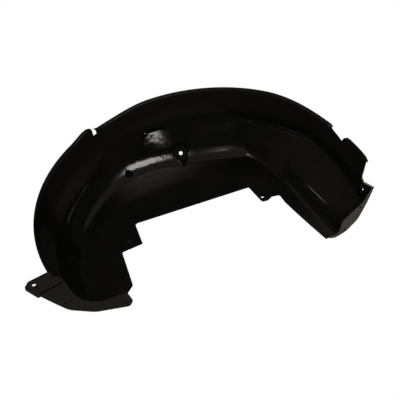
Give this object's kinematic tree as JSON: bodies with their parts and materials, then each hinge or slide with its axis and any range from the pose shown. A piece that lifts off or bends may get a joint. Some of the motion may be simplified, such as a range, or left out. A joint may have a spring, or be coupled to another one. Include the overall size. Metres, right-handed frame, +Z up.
{
  "type": "wheel arch liner",
  "caption": "Arched plastic wheel arch liner with a barrel over the tyre, a side wall, foot flanges and screw pockets.",
  "frame": {"origin": "bottom centre of the box, on the plane of the two foot flanges", "axes": "+X along the car, towards the leg with the curved flange; +Y inboard, from the lip to the side wall; +Z up"},
  "size_m": [0.7772, 0.1939, 0.441],
  "materials": {
    "black_polypropylene": "black polypropylene with a fine satin grain"
  },
  "bodies": {
    "root": {"wheel_arch_liner": "black_polypropylene"}
  },
  "joints": []
}
